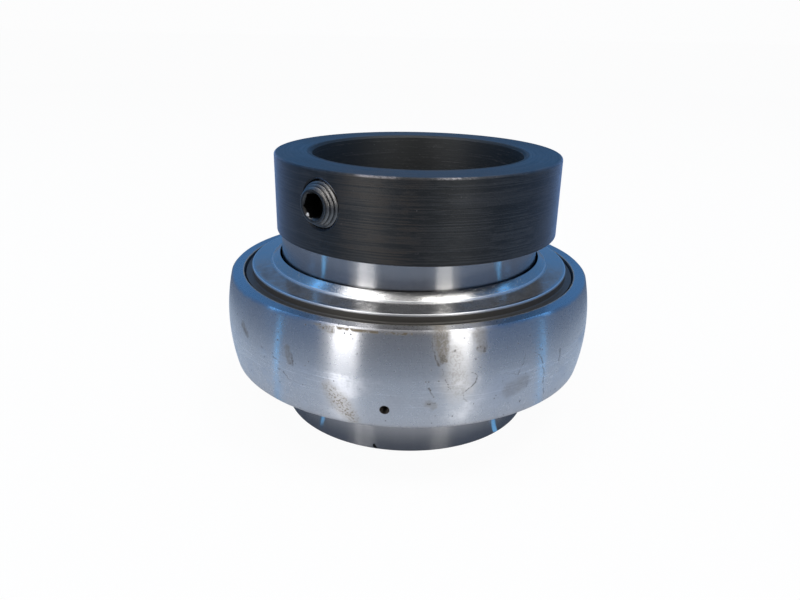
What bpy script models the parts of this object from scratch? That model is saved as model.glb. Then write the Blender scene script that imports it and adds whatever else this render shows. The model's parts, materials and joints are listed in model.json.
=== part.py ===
"""Wide-inner-ring insert bearing with a spherical outer ring and an eccentric locking collar.

The bearing stands on the lower end of its inner ring, with its axis along +Z and the
origin at the centre of that end. Lengths are in metres and angles in degrees.
The front of the bearing, where the grease hole and the set screw show, faces -Y.
"""

import math

import bmesh
import bpy
from mathutils import Matrix, Vector

# Inner ring: a wide ring with the inner race, and an eccentric cam at its upper end
BORE_DIAMETER = 0.0500
INNER_RING_WALL = 0.0064
INNER_RING_REACH = 0.0136     # beyond each face of the outer ring
INNER_RING_CHAMFER = 0.0004
BORE_CHAMFER = 0.0006
CAM_HEIGHT = 0.0042
CAM_OFFSET = 0.00115          # the cam's axis lies this far from the bore's axis
CAM_SHOULDER = 0.00165        # narrowest part of the step between ring and cam
CAM_TURN = 45.0               # direction of the cam's offset, from +X towards +Y

# Balls and races
BALL_COUNT = 10
BALL_DIAMETER = 0.0127
PITCH_RISE = 0.0036           # pitch circle above the inner ring's outer surface
RACE_CONFORMITY = 0.52        # race radius over ball diameter
RACE_CLEARANCE = 0.00025      # between a ball and the bottom of each race

# Outer ring: spherical outside, with a stepped seat for the seal in each face
OUTER_LAND_RISE = 0.0039      # outer ring's inner surface above the pitch circle
OUTER_RING_WALL = 0.0034      # behind the race, on the mid-plane
OUTER_EDGE_CHAMFER = 0.00045
SEAL_SEAT_WIDTH = 0.00188     # step on which the seal rests, outside that surface
GREASE_HOLE_DIAMETER = 0.0019
GREASE_HOLE_LIFT = 0.00475    # above the outer ring's lower face
GREASE_HOLE_TURN = -5.4       # from the front, positive towards +X

# Seal on each side: an outer shield, a rubber lip ring and an inner washer
SEAL_GAP = 0.00012            # between the layers of a seal, and below it
SEAL_EDGE_GAP = 0.00022       # round the rubber ring and the washer
SHIELD_THICKNESS = 0.0008
SHIELD_FLANGE_DEPTH = 0.0005  # shield's flange below the outer ring's face
SHIELD_FLANGE_GAP = 0.00045   # between the flange's edge and the outer ring
SHIELD_LIP_INSET = 0.0022     # from the outer ring to the shield's rounded lip
SHIELD_LIP_HEIGHT = 0.00143   # above the outer ring's face
SHIELD_CORNER = 0.0006        # fillet between the shield's wall and its flange
SHIELD_SLOPE_RISE = 0.00052   # of the wide annulus, from the lip to the step
SHIELD_STEP = 0.00033
SHIELD_BAND_WIDTH = 0.00196   # bright cone round the shield's opening
SHIELD_BAND_RISE = 0.00158
SHIELD_RING_GAP = 0.00056     # between the shield and the inner ring
LIP_THICKNESS = 0.0006
LIP_RING_GAP = 0.00025        # running gap of the rubber lip
LIP_RISE = 0.0018             # of the lip's tip above the rubber ring
LIP_REACH = 0.0016            # of the lip's slanted part
WASHER_THICKNESS = 0.0005
WASHER_RING_GAP = 0.0012

# Cage: two pressed ribbon halves, riveted together between the balls
CAGE_THICKNESS = 0.0009
CAGE_WIDTH = 0.0038
POCKET_CLEARANCE = 0.00036
CAGE_SEAL_GAP = 0.00075       # between the cage and the seals' inner washers
CAGE_HALVES_GAP = 0.0003
RIVET_DIAMETER = 0.0018
RIVET_HEAD_DIAMETER = 0.0034
RIVET_HEAD_HEIGHT = 0.0007
RIVET_CLEARANCE = 0.0002

# Locking collar, turned a quarter from the position in which its bore lines up
COLLAR_SHAFT_CLEARANCE = 0.00015
COLLAR_WALL = 0.00885
COLLAR_LAND_BELOW = 0.00145   # between its recess and the screw's hole
COLLAR_LAND_ABOVE = 0.00205   # between the hole and the top
COLLAR_CHAMFER = 0.0004
COLLAR_BORE_CHAMFER = 0.0005
COLLAR_SEAT_GAP = 0.0005      # between the collar and the inner ring's shoulder
COLLAR_CAM_CLEARANCE = 0.0002
COLLAR_HEADROOM = 0.0004      # above the cam, inside the collar's recess
COLLAR_TURN = 90.0

# Set screw with a hexagon socket and a cup point
SCREW_DIAMETER = 0.0100
SCREW_LENGTH = 0.0100
SCREW_CHAMFER = 0.0005
SCREW_PROTRUSION = 0.0018
SCREW_TURN = -36.9            # from the front, positive towards +X
SCREW_CLEARANCE = 0.00025
SCREW_HOLE_CHAMFER = 0.0004
SOCKET_ACROSS_FLATS = 0.0050
SOCKET_DEPTH = 0.0048
SOCKET_TURN = 8.0             # of the hexagon about the screw's axis
CUP_DIAMETER = 0.0056
CUP_DEPTH = 0.0012

# Facets
RING_FACETS = 44
SEAL_FACETS = 32
SPHERE_FACETS = 6                # even, so that a row of points lies on the equator
RACE_FACETS = 4
BALL_SEGMENTS = 12
BALL_RINGS = 8
POCKET_FACETS = 6
RIVET_FACETS = 6
SCREW_FACETS = 20
HOLE_FACETS = 12
CUTTER_REACH = 0.001          # how far a cutter runs past the surface it cuts

# Radii and heights that follow from the sizes above
bore_radius = BORE_DIAMETER / 2
inner_radius = bore_radius + INNER_RING_WALL
ball_radius = BALL_DIAMETER / 2
pitch_radius = inner_radius + PITCH_RISE
race_radius = RACE_CONFORMITY * BALL_DIAMETER
inner_race_bottom = pitch_radius - ball_radius - RACE_CLEARANCE
outer_race_bottom = pitch_radius + ball_radius + RACE_CLEARANCE
outer_land_radius = pitch_radius + OUTER_LAND_RISE
sphere_radius = outer_race_bottom + OUTER_RING_WALL

pocket_radius = ball_radius + POCKET_CLEARANCE
washer_bottom = pocket_radius + CAGE_THICKNESS + CAGE_SEAL_GAP
washer_top = washer_bottom + WASHER_THICKNESS
lip_ring_bottom = washer_top + SEAL_GAP
lip_ring_top = lip_ring_bottom + LIP_THICKNESS
flange_bottom = lip_ring_top + SEAL_GAP
flange_top = flange_bottom + SHIELD_THICKNESS
outer_half = flange_top + SHIELD_FLANGE_DEPTH
seat_half = washer_bottom - SEAL_GAP
seat_radius = outer_land_radius + SEAL_SEAT_WIDTH
sphere_half = outer_half - OUTER_EDGE_CHAMFER
face_radius = math.sqrt(sphere_radius ** 2 - sphere_half ** 2) - OUTER_EDGE_CHAMFER

mid_height = outer_half + INNER_RING_REACH
ring_top = 2 * mid_height
shoulder_height = ring_top - CAM_HEIGHT
cam_radius = inner_radius - CAM_OFFSET - CAM_SHOULDER
collar_bore_radius = bore_radius + COLLAR_SHAFT_CLEARANCE
collar_radius = collar_bore_radius + COLLAR_WALL
collar_bottom = shoulder_height + COLLAR_SEAT_GAP
recess_top = ring_top + COLLAR_HEADROOM
screw_hole_radius = SCREW_DIAMETER / 2 + SCREW_CLEARANCE
screw_height = recess_top + COLLAR_LAND_BELOW + screw_hole_radius
collar_top = screw_height + screw_hole_radius + COLLAR_LAND_ABOVE
half_pitch_angle = math.pi / BALL_COUNT


def direction(angle):
    """Unit vector in the XY plane, from +X towards +Y, for an angle in degrees."""
    turn = math.radians(angle)
    return Vector((math.cos(turn), math.sin(turn), 0.0))


def from_front(angle):
    """Unit vector for an angle counted from the front (-Y) towards +X."""
    return direction(angle - 90.0)


cam_centre = CAM_OFFSET * direction(CAM_TURN)
collar_centre = cam_centre - CAM_OFFSET * direction(CAM_TURN + COLLAR_TURN)


def clear_scene():
    for thing in list(bpy.data.objects):
        bpy.data.objects.remove(thing, do_unlink=True)


def new_collection(name):
    collection = bpy.data.collections.new(name)
    bpy.context.scene.collection.children.link(collection)
    return collection


clear_scene()
parts = new_collection("insert_bearing")
cutters = new_collection("cutters")


def finish(name, colour, roughness, metallic=1.0):
    """A Principled BSDF material."""
    material = bpy.data.materials.new(name)
    material.use_nodes = True
    shader = material.node_tree.nodes["Principled BSDF"]
    shader.inputs["Base Color"].default_value = (*colour, 1.0)
    shader.inputs["Roughness"].default_value = roughness
    shader.inputs["Metallic"].default_value = metallic
    return material


ground_steel = finish("ground_steel", (0.56, 0.56, 0.58), 0.28)
ball_steel = finish("ball_steel", (0.66, 0.66, 0.68), 0.10)
pressed_steel = finish("pressed_steel", (0.42, 0.41, 0.40), 0.34)
cage_steel = finish("cage_steel", (0.45, 0.44, 0.42), 0.40)
black_oxide = finish("black_oxide", (0.035, 0.035, 0.040), 0.42)
screw_steel = finish("screw_steel", (0.16, 0.16, 0.17), 0.35)
seal_rubber = finish("seal_rubber", (0.018, 0.018, 0.018), 0.65, metallic=0.0)


def add_object(name, mesh, material=None, collection=parts, parent=None, place=None):
    """Links an object for a mesh, under a parent empty and at a place in the parent's frame."""
    thing = bpy.data.objects.new(name, mesh)
    collection.objects.link(thing)
    if material is not None:
        mesh.materials.append(material)
    if parent is not None:
        thing.parent = parent
    if place is not None:
        thing.matrix_local = place
    return thing


def add_pivot(name, centre, parent=None):
    """An empty on a joint's axis, which carries the pieces that turn about it."""
    pivot = bpy.data.objects.new(name, None)
    parts.objects.link(pivot)
    pivot.empty_display_size = sphere_radius / 4
    if parent is not None:
        pivot.parent = parent
    pivot.location = centre
    return pivot


def turned(name, profile, facets, **options):
    """A solid turned about local Z from (radius, height) points.

    The points run down the outer side, from the top to the bottom. A ring's profile is
    closed. A solid bar's profile starts and ends on the axis, and stays open there.
    """
    on_axis = profile[0][0] == 0.0
    mesh = bpy.data.meshes.new(name)
    count = len(profile)
    edges = [(i, i + 1) for i in range(count - 1)]
    if not on_axis:
        edges.append((count - 1, 0))
    mesh.from_pydata([(radius, 0.0, height) for radius, height in profile], edges, [])
    thing = add_object(name, mesh, **options)
    screw = thing.modifiers.new("Turn", "SCREW")
    screw.steps = screw.render_steps = facets
    screw.use_merge_vertices = True
    screw.merge_threshold = 0.000001
    return thing


def as_cutter(thing):
    thing.hide_render = True
    thing.display_type = "WIRE"
    return thing


def turned_cutter(name, profile, facets, place):
    return as_cutter(turned(name, profile, facets, collection=cutters, place=place))


def combine(thing, other, operation):
    """Adds a Boolean modifier, with Blender's exact solver."""
    boolean = thing.modifiers.new(other.name, "BOOLEAN")
    boolean.operation = operation
    boolean.object = other
    boolean.solver = "EXACT"


def arc(centre, radius, start, end, count):
    """Points of an arc in a profile, for angles in radians counted from +radius to +height."""
    steps = [start + (end - start) * i / count for i in range(count + 1)]
    return [(centre[0] + radius * math.cos(a), centre[1] + radius * math.sin(a)) for a in steps]


def bore_cutter_profile(radius, bottom, top, chamfer):
    """A plug for a bore whose two mouths are chamfered at 45 degrees."""
    flare = radius + chamfer + CUTTER_REACH
    return [
        (0.0, top + CUTTER_REACH), (flare, top + CUTTER_REACH), (radius, top - chamfer),
        (radius, bottom + chamfer), (flare, bottom - CUTTER_REACH), (0.0, bottom - CUTTER_REACH),
    ]


def outer_ring(pivot):
    """Spherical outer ring, in the frame of its mid-plane, with a grease hole."""
    edge_angle = math.asin(sphere_half / sphere_radius)
    race_centre = (outer_race_bottom - race_radius, 0.0)
    race_angle = math.acos((outer_land_radius - race_centre[0]) / race_radius)
    profile = arc((0.0, 0.0), sphere_radius, edge_angle, -edge_angle, SPHERE_FACETS)
    profile += [
        (face_radius, -outer_half), (seat_radius, -outer_half),
        (seat_radius, -seat_half), (outer_land_radius, -seat_half),
    ]
    profile += arc(race_centre, race_radius, -race_angle, race_angle, RACE_FACETS)
    profile += [
        (outer_land_radius, seat_half), (seat_radius, seat_half),
        (seat_radius, outer_half), (face_radius, outer_half),
    ]
    ring = turned("outer_ring", profile, RING_FACETS, material=ground_steel, parent=pivot)
    outwards = from_front(GREASE_HOLE_TURN).to_track_quat("Z", "Y").to_matrix().to_4x4()
    centre = Vector((0.0, 0.0, mid_height - outer_half + GREASE_HOLE_LIFT))
    hole_radius = GREASE_HOLE_DIAMETER / 2
    hole = turned_cutter("grease_hole", [
        (0.0, sphere_radius + CUTTER_REACH), (hole_radius, sphere_radius + CUTTER_REACH),
        (hole_radius, pitch_radius), (0.0, pitch_radius),
    ], HOLE_FACETS, Matrix.Translation(centre) @ outwards)
    combine(ring, hole, "DIFFERENCE")
    return ring


def inner_ring():
    """Wide inner ring with its race, and the eccentric cam that the collar grips."""
    race_centre = (inner_race_bottom + race_radius, mid_height)
    race_angle = math.acos((race_centre[0] - inner_radius) / race_radius)
    cut = INNER_RING_CHAMFER
    profile = [(0.0, shoulder_height), (inner_radius - cut, shoulder_height)]
    profile += [(inner_radius, shoulder_height - cut)]
    profile += arc(race_centre, race_radius, math.pi - race_angle, math.pi + race_angle, RACE_FACETS)
    profile += [(inner_radius, cut), (inner_radius - cut, 0.0), (0.0, 0.0)]
    ring = turned("inner_ring", profile, RING_FACETS, material=ground_steel)
    cam = turned_cutter("cam", [
        (0.0, ring_top), (cam_radius - cut, ring_top),
        (cam_radius, ring_top - cut), (cam_radius, shoulder_height - CUTTER_REACH),
        (0.0, shoulder_height - CUTTER_REACH),
    ], RING_FACETS, Matrix.Translation(cam_centre))
    bore = turned_cutter(
        "shaft_bore", bore_cutter_profile(bore_radius, 0.0, ring_top, BORE_CHAMFER),
        RING_FACETS, Matrix.Identity(4))
    combine(ring, cam, "UNION")
    combine(ring, bore, "DIFFERENCE")
    return ring


def facing(profile, side):
    """A profile drawn for the upper side, or mirrored in the mid-plane for the lower one."""
    if side > 0:
        return profile
    return [(radius, -height) for radius, height in reversed(profile)]


def shield_profile():
    """Stepped pressing: cone, step, sloping annulus, rounded lip, wall and flange."""
    lip_radius = seat_radius - SHIELD_LIP_INSET
    lip_height = outer_half + SHIELD_LIP_HEIGHT
    step_height = lip_height + SHIELD_SLOPE_RISE
    opening = inner_radius + SHIELD_RING_GAP
    band_radius = opening + SHIELD_BAND_WIDTH
    band_height = step_height + SHIELD_STEP
    wall_radius = lip_radius + SHIELD_THICKNESS / 4     # the rounded lip, as one flat
    cone_length = math.hypot(SHIELD_BAND_WIDTH, SHIELD_BAND_RISE)
    cone_drop = SHIELD_THICKNESS * cone_length / SHIELD_BAND_WIDTH
    edge_radius = seat_radius - SHIELD_FLANGE_GAP
    upper = [
        (opening, band_height + SHIELD_BAND_RISE), (band_radius, band_height),
        (band_radius, step_height), (lip_radius, lip_height),
        (wall_radius, lip_height - SHIELD_THICKNESS / 2), (wall_radius, flange_top + SHIELD_CORNER),
        (wall_radius + SHIELD_CORNER, flange_top), (edge_radius, flange_top),
    ]
    lower = [
        (edge_radius, flange_bottom), (wall_radius - SHIELD_THICKNESS, flange_bottom),
        (wall_radius - SHIELD_THICKNESS, lip_height - SHIELD_THICKNESS),
        (band_radius - SHIELD_THICKNESS / 2, step_height - SHIELD_THICKNESS),
        (opening, band_height + SHIELD_BAND_RISE - cone_drop),
    ]
    return upper + lower


def lip_ring_profile():
    """Rubber ring held between the two plates, with a lip that runs on the inner ring."""
    tip = inner_radius + LIP_RING_GAP
    root = tip + LIP_REACH
    edge = seat_radius - SEAL_EDGE_GAP
    return [
        (tip, lip_ring_bottom + LIP_RISE + LIP_THICKNESS), (root + LIP_THICKNESS, lip_ring_top),
        (edge, lip_ring_top), (edge, lip_ring_bottom), (root, lip_ring_bottom),
        (tip, lip_ring_bottom + LIP_RISE),
    ]


def washer_profile():
    """Flat inner plate of a seal."""
    opening = inner_radius + WASHER_RING_GAP
    edge = seat_radius - SEAL_EDGE_GAP
    return [(opening, washer_top), (edge, washer_top), (edge, washer_bottom), (opening, washer_bottom)]


def seals(pivot):
    """The three layers of the seal on each side of the balls."""
    for side, word in ((1, "upper"), (-1, "lower")):
        turned(word + "_shield", facing(shield_profile(), side), RING_FACETS,
               material=pressed_steel, parent=pivot)
        turned(word + "_seal_lip", facing(lip_ring_profile(), side), SEAL_FACETS,
               material=seal_rubber, parent=pivot)
        turned(word + "_seal_washer", facing(washer_profile(), side), SEAL_FACETS,
               material=cage_steel, parent=pivot)


def balls(pivot):
    """Ball set, each ball with its origin at its own centre."""
    mesh = bpy.data.meshes.new("ball")
    shape = bmesh.new()
    bmesh.ops.create_uvsphere(shape, u_segments=BALL_SEGMENTS, v_segments=BALL_RINGS,
                              radius=ball_radius)
    shape.to_mesh(mesh)
    shape.free()
    mesh.shade_smooth()
    mesh.materials.append(ball_steel)
    for number in range(BALL_COUNT):
        turn = 2 * number * half_pitch_angle
        place = Matrix.Rotation(turn, 4, "Z") @ Matrix.Translation((pitch_radius, 0.0, 0.0))
        add_object(f"ball_{number + 1:02d}", mesh, parent=pivot, place=place)


def ribbon_outline():
    """Ball side of one pocket: (arc length from the ball's centre, height) points.

    Its two ends lie at the height of the flats, which join one pocket to the next.
    """
    flat = CAGE_HALVES_GAP / 2
    start = math.asin(flat / pocket_radius)
    return arc((0.0, 0.0), pocket_radius, math.pi - start, start, POCKET_FACETS)


def cage_half(name, side, pivot):
    """Pressed ribbon: a wavy strip given its thickness by Solidify, with rivet holes."""
    outline = ribbon_outline()
    stations = []
    for number in range(BALL_COUNT):
        turn = 2 * number * half_pitch_angle
        stations += [(turn + length / pitch_radius, height) for length, height in outline]
    shape = bmesh.new()
    edges = []
    for turn, height in stations:
        row = [shape.verts.new((radius * math.cos(turn), radius * math.sin(turn), side * height))
               for radius in (pitch_radius - CAGE_WIDTH / 2, pitch_radius + CAGE_WIDTH / 2)]
        edges.append(shape.edges.new(row))
    for first, second in zip(edges, edges[1:] + edges[:1]):
        corners = (first.verts[0], first.verts[1], second.verts[1], second.verts[0])
        shape.faces.new(corners if side > 0 else corners[::-1])
    mesh = bpy.data.meshes.new(name)
    shape.to_mesh(mesh)
    shape.free()
    half = add_object(name, mesh, material=cage_steel, parent=pivot)
    sheet = half.modifiers.new("Sheet", "SOLIDIFY")
    sheet.thickness = CAGE_THICKNESS
    sheet.offset = 1.0
    sheet.use_even_offset = True
    return half


def rivet_profile():
    """Rivet with two flat heads, in the frame of the mid-plane."""
    grip = CAGE_HALVES_GAP / 2 + CAGE_THICKNESS + RIVET_CLEARANCE / 2
    head = RIVET_HEAD_DIAMETER / 2
    shank = RIVET_DIAMETER / 2
    top = grip + RIVET_HEAD_HEIGHT
    return [
        (0.0, top), (head, top), (head, grip), (shank, grip),
        (shank, -grip), (head, -grip), (head, -top), (0.0, -top),
    ]


def cage(pivot):
    """The two ribbon halves and the rivets between the balls."""
    hole_radius = RIVET_DIAMETER / 2 + RIVET_CLEARANCE
    reach = CAGE_HALVES_GAP + CAGE_THICKNESS + CUTTER_REACH
    halves = [cage_half("upper_cage_half", 1, pivot), cage_half("lower_cage_half", -1, pivot)]
    for number in range(BALL_COUNT):
        turn = (2 * number + 1) * half_pitch_angle
        place = Matrix.Rotation(turn, 4, "Z") @ Matrix.Translation((pitch_radius, 0.0, 0.0))
        turned(f"cage_rivet_{number + 1:02d}", rivet_profile(), RIVET_FACETS,
               material=cage_steel, parent=pivot, place=place)
        hole = turned_cutter(f"rivet_hole_{number + 1:02d}", [
            (0.0, reach), (hole_radius, reach), (hole_radius, -reach), (0.0, -reach),
        ], RIVET_FACETS, Matrix.Translation((0.0, 0.0, mid_height)) @ place)
        for half in halves:
            combine(half, hole, "DIFFERENCE")


def screw_place():
    """Frame of the set screw: its origin on the collar's axis, its Z along the screw, outwards."""
    outwards = from_front(SCREW_TURN).to_track_quat("Z", "Y").to_matrix().to_4x4()
    return Matrix.Translation(collar_centre + Vector((0.0, 0.0, screw_height))) @ outwards


def locking_collar(pivot):
    """Collar with an eccentric recess for the cam, and a tapped hole for the set screw."""
    cut = COLLAR_CHAMFER
    profile = [
        (0.0, collar_top), (collar_radius - cut, collar_top), (collar_radius, collar_top - cut),
        (collar_radius, collar_bottom + cut), (collar_radius - cut, collar_bottom), (0.0, collar_bottom),
    ]
    to_pivot = Matrix.Translation(collar_centre - cam_centre)
    collar = turned("locking_collar", profile, RING_FACETS, material=black_oxide, parent=pivot,
                    place=to_pivot)
    bore = turned_cutter(
        "collar_bore",
        bore_cutter_profile(collar_bore_radius, collar_bottom, collar_top, COLLAR_BORE_CHAMFER),
        RING_FACETS, Matrix.Translation(collar_centre))
    recess_radius = cam_radius + COLLAR_CAM_CLEARANCE
    recess = turned_cutter("cam_recess", [
        (0.0, recess_top), (recess_radius, recess_top),
        (recess_radius, collar_bottom - CUTTER_REACH), (0.0, collar_bottom - CUTTER_REACH),
    ], RING_FACETS, Matrix.Translation(cam_centre))
    flare = screw_hole_radius + SCREW_HOLE_CHAMFER + CUTTER_REACH
    hole = turned_cutter("screw_hole", [
        (0.0, collar_radius + CUTTER_REACH), (flare, collar_radius + CUTTER_REACH),
        (screw_hole_radius, collar_radius - SCREW_HOLE_CHAMFER),
        (screw_hole_radius, collar_radius / 2), (0.0, collar_radius / 2),
    ], SCREW_FACETS, screw_place())
    for cutter in (bore, recess, hole):
        combine(collar, cutter, "DIFFERENCE")
    return collar


def set_screw(pivot):
    """Set screw, drawn with its Z outwards from the collar's axis."""
    radius = SCREW_DIAMETER / 2
    outer_end = collar_radius + SCREW_PROTRUSION
    inner_end = outer_end - SCREW_LENGTH
    cup_radius = CUP_DIAMETER / 2
    cut = SCREW_CHAMFER
    point = radius - (radius - cup_radius) / 2
    profile = [
        (0.0, outer_end), (radius - cut, outer_end), (radius, outer_end - cut),
        (radius, inner_end + radius - point), (point, inner_end), (cup_radius, inner_end),
        (0.0, inner_end + CUP_DEPTH),
    ]
    place = Matrix.Translation(-cam_centre) @ screw_place()
    screw = turned("set_screw", profile, SCREW_FACETS, material=screw_steel, parent=pivot, place=place)
    corner = SOCKET_ACROSS_FLATS / math.sqrt(3)
    drill_point = corner / 2
    socket = turned_cutter("hex_socket", [
        (0.0, outer_end + CUTTER_REACH), (corner, outer_end + CUTTER_REACH),
        (corner, outer_end - SOCKET_DEPTH), (0.0, outer_end - SOCKET_DEPTH - drill_point),
    ], 6, screw_place() @ Matrix.Rotation(math.radians(SOCKET_TURN), 4, "Z"))
    combine(screw, socket, "DIFFERENCE")
    return screw


middle = Vector((0.0, 0.0, mid_height))
ring_pivot = add_pivot("outer_ring_axis", middle)
cage_pivot = add_pivot("cage_axis", middle)
collar_pivot = add_pivot("collar_axis", cam_centre)
inner_ring()
outer_ring(ring_pivot)
seals(ring_pivot)
balls(cage_pivot)
cage(cage_pivot)
locking_collar(collar_pivot)
set_screw(collar_pivot)
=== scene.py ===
import json
import math

import bmesh
import bpy
from mathutils import Matrix, Vector


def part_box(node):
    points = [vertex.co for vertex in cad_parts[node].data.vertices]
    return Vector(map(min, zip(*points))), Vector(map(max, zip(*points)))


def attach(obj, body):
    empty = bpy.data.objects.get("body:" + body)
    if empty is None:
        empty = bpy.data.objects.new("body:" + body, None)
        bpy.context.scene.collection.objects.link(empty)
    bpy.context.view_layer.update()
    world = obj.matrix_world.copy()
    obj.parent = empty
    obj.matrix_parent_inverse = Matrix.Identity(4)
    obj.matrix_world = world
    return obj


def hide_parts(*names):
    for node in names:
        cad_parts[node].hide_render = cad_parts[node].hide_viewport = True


# Looks of an insert bearing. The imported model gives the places, and lengths here are in metres.

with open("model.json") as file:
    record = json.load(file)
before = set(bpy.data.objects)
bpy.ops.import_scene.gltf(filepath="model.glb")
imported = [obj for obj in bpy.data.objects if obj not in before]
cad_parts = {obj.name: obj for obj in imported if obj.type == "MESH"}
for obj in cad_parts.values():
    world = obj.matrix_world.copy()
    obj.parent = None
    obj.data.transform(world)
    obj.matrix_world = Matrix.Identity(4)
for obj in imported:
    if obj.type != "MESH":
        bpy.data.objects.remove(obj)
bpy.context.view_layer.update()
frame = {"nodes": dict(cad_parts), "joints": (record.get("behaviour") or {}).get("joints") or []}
print("frame loaded")

mm = 0.001
axisZ = Vector((0, 0, 1))
boreCentre = Vector((0, 0, 0))

# what the frame says about the pieces
ringLow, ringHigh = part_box("outer_ring")
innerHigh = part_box("inner_ring")[1]
collarLow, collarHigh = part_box("locking_collar")
screwLow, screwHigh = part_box("set_screw")
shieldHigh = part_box("upper_shield")[1]
lipLow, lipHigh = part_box("upper_seal_lip")
washerLow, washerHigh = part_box("upper_seal_washer")
ballLow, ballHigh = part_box("ball_01")

joints = {joint["name"]: joint for joint in frame["joints"]}
midHeight = (ringLow.z + ringHigh.z) / 2
sphereRadius = ringHigh.x
ringHalf = (ringHigh.z - ringLow.z) / 2
innerRadius = innerHigh.x
innerTop = innerHigh.z
collarRadius = (collarHigh.y - collarLow.y) / 2
collarCentre = Vector(((collarLow.x + collarHigh.x) / 2, (collarLow.y + collarHigh.y) / 2, 0))
camCentre = Vector((*joints["collar_turn"]["pos_m"][:2], 0))
screwAxis = Vector(joints["set_screw_travel"]["axis"]).normalized()
screwHeight = (screwLow.z + screwHigh.z) / 2
screwRadius = (screwHigh.z - screwLow.z) / 2
ballRadius = (ballHigh.x - ballLow.x) / 2
pitchRadius = (ballHigh.x + ballLow.x) / 2
ballCount = sum(name.startswith("ball_") for name in frame["nodes"])
mmPerDegree = math.radians(1) * sphereRadius / mm  # along the widest circle of the sphere


def fromFront(degrees):
    # unit vector for an angle from the front (-Y) towards +X
    angle = math.radians(degrees)
    return Vector((math.sin(angle), -math.cos(angle), 0))


# Shader building: a Link wraps a socket, so that sums on it add Math nodes
def maths(operation):
    # the operator and its reflected form
    def forward(self, other=0.0):
        return self.nodes.add("ShaderNodeMath", {"operation": operation}, {0: self, 1: other})

    def reflected(self, other):
        return self.nodes.add("ShaderNodeMath", {"operation": operation}, {0: other, 1: self})
    return forward, reflected


class Link:
    __add__, __radd__ = maths("ADD")
    __sub__, __rsub__ = maths("SUBTRACT")
    __mul__, __rmul__ = maths("MULTIPLY")
    __truediv__, __rtruediv__ = maths("DIVIDE")
    __pow__, __rpow__ = maths("POWER")
    __abs__ = maths("ABSOLUTE")[0]
    most = maths("MAXIMUM")[0]
    least = maths("MINIMUM")[0]
    arcTangent = maths("ARCTAN2")[0]

    def __init__(self, nodes, socket):
        self.nodes = nodes
        self.socket = socket

    def output(self, key):
        # another output of the same node
        return Link(self.nodes, self.socket.node.outputs[key])


class Nodes:
    def __init__(self, tree):
        self.tree = tree

    def add(self, kind, settings=None, inputs=None, output=0):
        node = self.tree.nodes.new(kind)
        for key, value in (settings or {}).items():
            setattr(node, key, value)
        self.fill(node, inputs or {})
        return Link(self, node.outputs[output])

    def fill(self, node, inputs):
        # links and values for a node's sockets; a colour is written without its alpha
        for key, value in inputs.items():
            socket = node.inputs[key]
            if isinstance(value, Link):
                self.tree.links.new(value.socket, socket)
            elif socket.type == "RGBA":
                socket.default_value = (*value, 1)
            else:
                socket.default_value = value

    def blend(self, factor, first, second):
        inputs = {0: factor, 6: first, 7: second}
        return self.add("ShaderNodeMix", {"data_type": "RGBA"}, inputs, output=2)


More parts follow.
